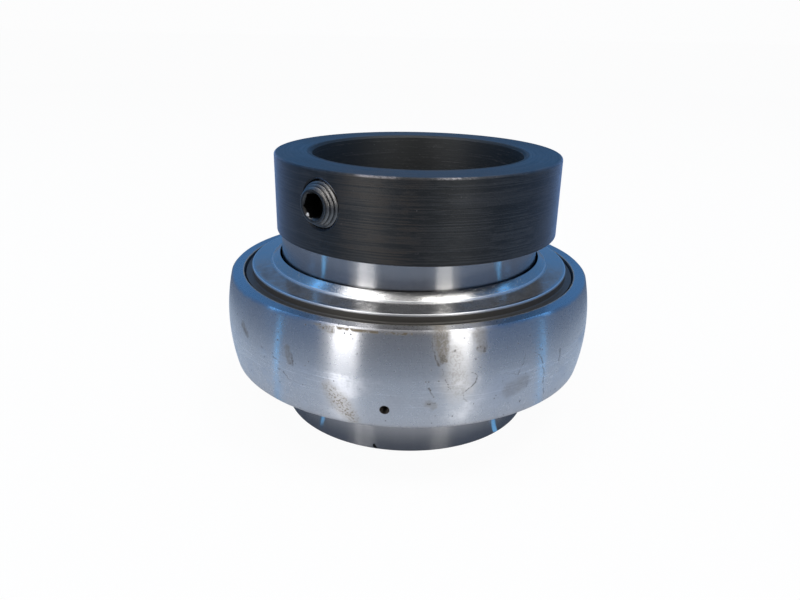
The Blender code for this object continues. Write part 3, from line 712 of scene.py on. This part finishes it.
def makeInnerRing():
    values = innerRing
    shoulder = innerTop - values["camHeight"]
    bore = values["boreRadius"]
    raceCentre = values["raceBottom"] + values["raceRadius"]
    raceSweep = math.acos((raceCentre - innerRadius) / values["raceRadius"])
    race = arcPoints((raceCentre, midHeight), values["raceRadius"], math.pi - raceSweep,
                     math.pi + raceSweep, values["raceSteps"])
    flare = values["boreChamfer"]
    edge = values["boreEdge"]
    # the outside of the cam turns about its own axis, and all else about the bore's
    corners = [
        (values["camRadius"], innerTop, values["edge"], camCentre),
        (values["camRadius"], shoulder, 0, camCentre),
        (innerRadius, shoulder, values["shoulderEdge"]),
    ]
    corners += [(point.x, point.y, 0) for point in race]
    corners += [
        (innerRadius, 0, values["edge"]), (bore + flare, 0, edge), (bore, flare, edge),
        (bore, innerTop - flare, edge), (bore + flare, innerTop, edge),
    ]
    thing = turned("innerRing", rounded(corners), values["segments"])
    dress(thing, "inner", "inner_ring", "inner_ring")


shield = {
    "segments": 256, "thickness": 0.8 * mm, "opening": 31.96 * mm, "bandRadius": 33.92 * mm,
    "bandRise": 1.58 * mm, "step": 0.33 * mm, "slope": 0.52 * mm, "stepSlant": 0.08 * mm,
    "lipRadius": 38.58 * mm, "flangeDepth": 0.5 * mm, "openingDepth": 1.03 * mm, "bandFillet": 0.18 * mm,
    "lipFillet": 0.22 * mm, "flangeFillet": 0.35 * mm, "edge": 0.10 * mm,
}


def shieldOutline():
    values = shield
    thick = values["thickness"]
    top = shieldHigh.z
    band = top - values["bandRise"]
    stepHeight = band - values["step"]
    lipHeight = stepHeight - values["slope"]
    flange = midHeight + ringHalf - values["flangeDepth"]
    lip = values["lipRadius"] + thick / 4
    edge = values["edge"]
    return rounded([
        (values["opening"], top, 0.12 * mm), (values["bandRadius"], band, values["bandFillet"]),
        (values["bandRadius"] + values["stepSlant"], stepHeight, edge), (lip, lipHeight, values["lipFillet"]),
        (lip, flange, values["flangeFillet"]), (shieldHigh.x, flange, edge),
        (shieldHigh.x, flange - thick, edge), (lip - thick, flange - thick, thick),
        (lip - thick, lipHeight - thick, thick / 4),
        (values["bandRadius"] - thick / 2, stepHeight - thick, 0.3 * mm),
        (values["opening"], top - values["openingDepth"], edge),
    ])


def makeShields():
    outline = shieldOutline()
    for side, section in (("upper", outline), ("lower", flipped(outline))):
        thing = turned(side + "Shield", section, shield["segments"])
        dress(thing, "shield", "outer_ring", side + "_shield")


sealRings = {
    "segments": 160, "lipGap": 0.25 * mm, "lipReach": 1.6 * mm, "lipRise": 1.8 * mm, "lipFold": 0.3 * mm,
    "thickness": 0.6 * mm, "washerOpening": 1.2 * mm, "edge": 0.08 * mm, "rimEdge": 0.1 * mm,
}


def makeSealRings():
    values = sealRings
    tip = innerRadius + values["lipGap"]
    root = tip + values["lipReach"]
    base = lipLow.z
    thick = values["thickness"]
    edge = values["edge"]
    rimEdge = values["rimEdge"]
    fold = values["lipFold"]
    lip = rounded([
        (tip, base + values["lipRise"] + thick, edge), (root + thick, base + thick, fold),
        (lipHigh.x, base + thick, rimEdge), (lipHigh.x, base, rimEdge), (root, base, fold),
        (tip, base + values["lipRise"], edge)], 3)
    opening = innerRadius + values["washerOpening"]
    washer = rounded([
        (opening, washerHigh.z, edge), (washerHigh.x, washerHigh.z, edge),
        (washerHigh.x, washerLow.z, edge), (opening, washerLow.z, edge)], 3)
    for side, turnOver in (("upper", False), ("lower", True)):
        for word, node, section, finish, slot in (
                ("SealLip", "_seal_lip", lip, "rubber", "seal_rubber"),
                ("SealWasher", "_seal_washer", washer, "cage", "cage_steel")):
            outline = flipped(section) if turnOver else section
            thing = turned(side + word, outline, values["segments"])
            dress(thing, finish, "outer_ring", side + node)


collar = {
    "segments": 256, "topFillet": 0.55 * mm, "bottomFillet": 0.15 * mm, "boreRadius": 25.15 * mm,
    "boreChamfer": 0.5 * mm, "boreEdge": 0.15 * mm, "recessRadius": 28.8 * mm, "recessTop": 49.6 * mm,
    "recessChamfer": 0.2 * mm, "holeRadius": 5.2 * mm, "holeChamfer": 0.45 * mm,
}


def makeCollar():
    values = collar
    bottom = collarLow.z
    top = collarHigh.z
    bore = values["boreRadius"]
    flare = values["boreChamfer"]
    edge = values["boreEdge"]
    recess = values["recessRadius"]
    slant = values["recessChamfer"]
    # the recess turns about the cam's axis, and all else about the collar's own
    outline = rounded([
        (collarRadius, top, values["topFillet"], collarCentre),
        (collarRadius, bottom, values["bottomFillet"], collarCentre),
        (recess + slant, bottom, 0, camCentre), (recess, bottom + slant, 0, camCentre),
        (recess, values["recessTop"], 0, camCentre), (bore, values["recessTop"], 0, collarCentre),
        (bore, top - flare, edge, collarCentre), (bore + flare, top, edge, collarCentre)], 7)
    thing = turned("lockingCollar", outline, values["segments"])
    drill = values["holeRadius"]
    flare = values["holeChamfer"]
    beyond = collarRadius + mm
    within = 15 * mm
    reach = [(0, beyond), (drill + flare + mm, beyond), (drill, collarRadius - flare),
             (drill, within), (0, within)]
    cutter = turned("tappedHole", reach, 96, closed=False)
    cutter.matrix_world = alongAxis(collarCentre + axisZ * screwHeight, screwAxis)
    cut(thing, cutter)
    dress(thing, "collar", "collar", "locking_collar")


def threadRadius(height, turn):
    # radius of the threaded flank; the ridges run out shallower on the chamfer at each end
    values = setScrew
    phase = (height / values["pitch"] - turn / (2 * math.pi)) % 1.0
    ridge = 1 - abs(2 * phase - 1)
    groove = values["threadDepth"] * (1 - min(1.0, max(0.0, ridge * 1.20 - 0.06)))
    ends = min(height, values["length"] - height)
    fade = min(1.0, ends / values["chamferLength"])
    return screwRadius - values["chamferDepth"] * (1 - fade) - groove * (0.55 + 0.45 * fade)


def makeSetScrew():
    values = setScrew
    rows = int(values["length"] / values["pitch"] * values["rowsPerTurn"])
    turns = roundTurns(values["segments"])
    shape = bmesh.new()
    rings = []
    for row in range(rows + 1):
        height = values["length"] * (1 - row / rows)
        rings.append([shape.verts.new(onCircle(threadRadius(height, turn), turn, height)) for turn in turns])
    # the cup point, and the flat end in front
    rings.append([shape.verts.new(onCircle(values["cupRadius"], turn, 0)) for turn in turns])
    rings.append([shape.verts.new((0, 0, values["cupDepth"]))])
    web(shape, rings)
    shape.faces.new(rings[0])
    bmesh.ops.recalc_face_normals(shape, faces=shape.faces)
    thing = newObject("setScrew", shape)
    # the hexagon socket, and the countersink at its mouth
    corner = values["socketFlats"] / math.sqrt(3)
    length = values["length"]
    over = length + mm
    floor = length - values["socketDepth"]
    hexagon = [(0, over), (corner, over), (corner, floor), (0, floor - corner / 2)]
    cutter = turned("hexSocket", hexagon, 6, closed=False)
    cutter.matrix_world = Matrix.Rotation(math.radians(values["socketTurn"]), 4, "Z")
    cut(thing, cutter)
    depth = values["mouthDepth"]
    wide = corner + values["mouthWider"]
    mouth = [(0, over), (wide + mm, over), (wide, length), (wide - depth, length - depth),
             (0, length - depth)]
    cut(thing, turned("socketMouth", mouth, 96, closed=False))
    outerEnd = collarRadius + values["protrusion"]
    origin = collarCentre + axisZ * screwHeight + screwAxis * (outerEnd - length)
    thing.data.transform(alongAxis(origin, screwAxis))
    dress(thing, "screw", "set_screw", "set_screw", sharp=30)


rolling = {
    "ballSegments": 32, "ballRows": 16, "ribbonWidth": 3.8 * mm, "ribbonThick": 0.9 * mm,
    "ribbonEdge": 0.12 * mm, "pocketSteps": 20, "pocketClearance": 0.36 * mm, "halvesGap": 0.3 * mm,
    "rivetHead": 1.7 * mm, "rivetShank": 0.9 * mm, "headRise": 0.7 * mm, "headSteps": 6,
    "rivetSegments": 24,
}


def makeBalls():
    values = rolling
    for number in range(ballCount):
        node = f"ball_{number + 1:02d}"
        low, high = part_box(node)
        shape = bmesh.new()
        bmesh.ops.create_uvsphere(shape, u_segments=values["ballSegments"], v_segments=values["ballRows"],
                                  radius=ballRadius)
        thing = newObject(f"ball{number + 1:02d}", shape)
        thing.data.transform(Matrix.Translation((low + high) / 2))
        dress(thing, "ball", node, node)


def makeCage():
    values = rolling
    pocket = ballRadius + values["pocketClearance"]
    start = math.asin(values["halvesGap"] / 2 / pocket)
    edges = (pitchRadius - values["ribbonWidth"] / 2, pitchRadius + values["ribbonWidth"] / 2)
    for side, word in ((1, "upper"), (-1, "lower")):
        shape = bmesh.new()
        rows = []
        for number in range(ballCount):
            for point in arcPoints((0, 0), pocket, math.pi - start, start, values["pocketSteps"]):
                turn = 2 * math.pi * number / ballCount + point.x / pitchRadius
                height = midHeight + side * point.y
                rows.append([shape.verts.new(onCircle(radius, turn, height)) for radius in edges])
        for first, second in zip(rows, rows[1:] + rows[:1]):
            corners = (first[0], first[1], second[1], second[0])
            shape.faces.new(corners if side > 0 else corners[::-1])
        thing = newObject(word + "CageHalf", shape)
        sheet = thing.modifiers.new("sheet", "SOLIDIFY")
        sheet.thickness = values["ribbonThick"]
        sheet.offset = 1.0
        sheet.use_even_offset = True
        bevel = thing.modifiers.new("edges", "BEVEL")
        bevel.width = values["ribbonEdge"]
        bevel.segments = 2
        bevel.angle_limit = math.radians(60)
        dress(thing, "cage", "cage", word + "_cage_half")


def makeRivets():
    values = rolling
    grip = values["halvesGap"] / 2 + values["ribbonThick"]
    head = values["rivetHead"]
    rise = values["headRise"]
    crown = arcPoints((head - rise, grip), rise, math.pi / 2, 0, values["headSteps"])
    outline = [(0, grip + rise), *[(point.x, point.y) for point in crown], (values["rivetShank"], grip)]
    outline += [(radius, -height) for radius, height in reversed(outline)]
    for number in range(ballCount):
        turn = 2 * math.pi * (number + 0.5) / ballCount
        thing = turned(f"cageRivet{number + 1:02d}", outline, values["rivetSegments"], closed=False)
        thing.data.transform(Matrix.Translation(onCircle(pitchRadius, turn, midHeight)))
        dress(thing, "cage", "cage", f"cage_rivet_{number + 1:02d}")


finishes = {
    "outer": outerSteelFinish(),
    "inner": innerSteelFinish(),
    "shield": shieldSteelFinish(),
    "collar": collarOxideFinish(),
    "screw": screwSteelFinish(),
    "ball": plainSteelFinish("polishedBall", (0.66, 0.66, 0.68), 0.12),
    "cage": plainSteelFinish("pressedCage", (0.45, 0.44, 0.42), 0.36),
    "rubber": rubberFinish(),
}
print("finishes")
makeOuterRing()
print("outer ring")
makeInnerRing()
print("inner ring")
makeShields()
makeSealRings()
print("shields and seals")
makeCollar()
makeSetScrew()
print("collar and set screw")
makeBalls()
makeCage()
makeRivets()
print("balls and cage")


# The camera stands where the photograph was taken from
cameraView = {
    "position": Vector((0, -164.77, 89.04)) * mm, "lens": 30.642, "sensor": 36, "yaw": 0.647,
    "pitch": -0.151, "roll": 1.34, "clip": 5 * mm,
}


def makeCamera():
    values = cameraView
    data = bpy.data.cameras.new("camera")
    data.sensor_width = values["sensor"]
    data.lens = values["lens"]
    data.clip_start = values["clip"]
    camera = newObject("camera", data)
    towards = Vector((0, 0, midHeight)) - values["position"]
    base = towards.to_track_quat("-Z", "Y").to_matrix().to_4x4()
    offset = (Matrix.Rotation(-math.radians(values["pitch"]), 4, "X")
              @ Matrix.Rotation(math.radians(values["yaw"]), 4, "Y")
              @ Matrix.Rotation(math.radians(values["roll"]), 4, "Z"))
    camera.matrix_world = Matrix.Translation(values["position"]) @ base @ offset
    bpy.context.scene.camera = camera


studio = {
    "ambient": (0.45, 0.48, 0.54), "background": (0.978, 0.979, 0.982), "floorColour": (0.86, 0.86, 0.87),
    "floorSeen": 0.95,
    # painted for the metal only: a painted shadow darkens the floor at the foot of the part, and a bluish
    # glow brightens it farther out; radii in mm
    "footShade": 0.75, "footEdge": (46, 33), "footColour": (0.03, 0.05, 0.09), "floorGlow": 0.55,
    "glowEdge": (44, 62), "glowColour": (0.60, 0.78, 1.0),
    "distance": 0.8,  # of the lamps from the part, in metres
    # name, angle from the front, elevation, width, height and lean in degrees, brightness, colour
    "lamps": [
        ("windowLeft", -36, 14, 15, 30, 9, 6.0, (1.0, 0.99, 0.97)),
        ("windowRight", 31, 14, 13, 30, -9, 4.4, (1.0, 0.98, 0.91)),
        ("overheadLeft", -72, 67, 17, 21, 0, 4.8, (1.0, 1.0, 1.0)),
        ("overheadRight", 67, 69.5, 17, 20, 0, 7.6, (1.0, 0.99, 0.95)),
        ("stripLeft", -101, 39, 4, 34, 26, 3.2, (0.14, 0.48, 1.0)),
        ("stripRight", 104, 38, 4, 34, -26, 3.2, (0.14, 0.48, 1.0)),
    ],
    # name, first and last angle from the front, lowest and highest elevation, colour
    "cards": [
        ("backCard", 110, 250, -1, 72, (0.10, 0.26, 0.55)),
        ("leftCard", -110, -50, -1, 64, (0.12, 0.22, 0.42)),
        ("rightCard", 44, 110, -1, 64, (0.10, 0.20, 0.40)),
        ("cameraCard", -27, 23, -1, 62, (0.18, 0.18, 0.19)),
    ],
    # the metal sees a bright floor this far out, and a dim one beyond
    "brightFloor": 0.118,
    "dimFloor": (0.16, 0.20, 0.28),
    # glowing blue strips on the floor that only the metal sees, as painted reflections: inner and outer end
    # in x and y, half width at each, in mm, colour
    "streaks": [
        ((-24, -25), (-50, -30), 0.6, 1.2, (0.24, 0.62, 1.1)),
        ((-72, -37.5), (-205, -62), 1.0, 4.5, (0.42, 1.4, 2.6)),
        ((22, -22.5), (46, -25), 0.6, 1.2, (0.24, 0.62, 1.1)),
        ((66, -34), (205, -38), 0.9, 4.0, (0.42, 1.4, 2.6)),
    ],
    "cardReach": 1.28, "cardColumns": 24, "cardRows": 6, "floorSides": 64, "floorSize": 60,
}


def makeLamps():
    values = studio
    target = Vector((0, 0, midHeight))
    reach = values["distance"]
    for name, angle, elevation, width, tall, lean, brightness, colour in values["lamps"]:
        data = bpy.data.lights.new(name, "AREA")
        data.shape = "RECTANGLE"
        data.size = 2 * reach * math.tan(math.radians(width / 2))
        data.size_y = 2 * reach * math.tan(math.radians(tall / 2))
        data.energy = brightness * math.pi * data.size * data.size_y
        data.color = colour
        lamp = newObject(name, data)
        level = math.radians(elevation)
        away = fromFront(angle) * math.cos(level) + axisZ * math.sin(level)
        turn = (-away).to_track_quat("-Z", "Y").to_matrix().to_4x4()
        turn = turn @ Matrix.Rotation(math.radians(lean), 4, "Z")
        lamp.matrix_world = Matrix.Translation(target + away * reach) @ turn
        lamp.visible_camera = False


def showCard(name, shape, colour):
    # a card is a glowing panel that only the metal sees, a painted reflection: it neither lights nor shades
    # anything
    card = newObject(name, shape)
    finish = Finish(name, metallic=0.0)
    card.data.materials.append(finish.show(finish.glow(colour)))
    card.visible_camera = False
    card.visible_diffuse = False
    card.visible_shadow = False


def makeCards():
    values = studio
    reach = values["cardReach"]
    columns = values["cardColumns"]
    parts = values["cardRows"]
    for name, first, last, low, high, colour in values["cards"]:
        shape = bmesh.new()
        levels = [math.radians(low + (high - low) * part / parts) for part in range(parts + 1)]
        rows = []
        for number in range(columns + 1):
            away = fromFront(first + (last - first) * number / columns)
            rows.append([shape.verts.new(away * (reach * math.cos(level)) + axisZ * (reach * math.sin(level)))
                         for level in levels])
        web(shape, rows, around=False)
        showCard(name, shape, colour)


def makeDimFloor():
    # a ring just above the floor, from where the metal sees it dim
    values = studio
    shape = bmesh.new()
    rows = []
    for number in range(values["floorSides"]):
        away = fromFront(360 * number / values["floorSides"])
        rows.append([shape.verts.new(away * radius + axisZ * (mm / 10))
                     for radius in (values["brightFloor"], values["cardReach"])])
    web(shape, rows + rows[:1], around=False)
    showCard("dimFloor", shape, values["dimFloor"])


def makeReflectionStreaks():
    for number, (inner, outer, innerWidth, outerWidth, colour) in enumerate(studio["streaks"]):
        shape = bmesh.new()
        inner, outer = Vector(inner) * mm, Vector(outer) * mm
        aside = (outer - inner).normalized().orthogonal() * mm
        corners = (inner - aside * innerWidth, outer - aside * outerWidth,
                   outer + aside * outerWidth, inner + aside * innerWidth)
        shape.faces.new([shape.verts.new((corner.x, corner.y, mm / 5)) for corner in corners])
        showCard(f"reflectionStreak{number + 1}", shape, colour)


def makeWorld():
    # white for the camera and in the metal, and a plain ambient light otherwise
    world = bpy.data.worlds.new("studio")
    bpy.context.scene.world = world
    world.use_nodes = True
    nodes = Nodes(world.node_tree)
    camera = nodes.add("ShaderNodeLightPath", output="Is Camera Ray")
    seen = camera.most(camera.output("Is Glossy Ray")).most(camera.output("Is Transmission Ray"))
    level = nodes.blend(seen, studio["ambient"], studio["background"])
    nodes.fill(world.node_tree.nodes["Background"], {"Color": level, "Strength": 1.0})


def makeFloor():
    values = studio
    shape = bmesh.new()
    bmesh.ops.create_grid(shape, x_segments=1, y_segments=1, size=values["floorSize"])
    floor = newObject("floor", shape)
    finish = Finish("paleFloor", metallic=0.0)
    finish.surface({"Base Color": values["floorColour"], "Roughness": 0.9})
    camera = finish.add("ShaderNodeLightPath", output="Is Camera Ray")
    glossy = camera.output("Is Glossy Ray")
    radius = finish.polar(finish.place())[0]
    # painted shadow at the foot and a painted bluish glow beyond, for glossy rays only
    foot = glossy * finish.step(radius, *values["footEdge"]) * values["footShade"]
    beyond = glossy * finish.step(radius, *values["glowEdge"]) * values["floorGlow"]
    mixed = finish.mixed(foot, finish.own, finish.glow(values["footColour"]))
    mixed = finish.mixed(beyond, mixed, finish.glow(values["glowColour"]))
    mixed = finish.mixed(camera * values["floorSeen"], mixed, finish.glow((1, 1, 1)))
    floor.data.materials.append(finish.show(mixed))


makeCamera()
makeLamps()
makeWorld()
makeFloor()
makeCards()
makeDimFloor()
makeReflectionStreaks()
bpy.context.scene.view_settings.view_transform = "Standard"
print("studio")
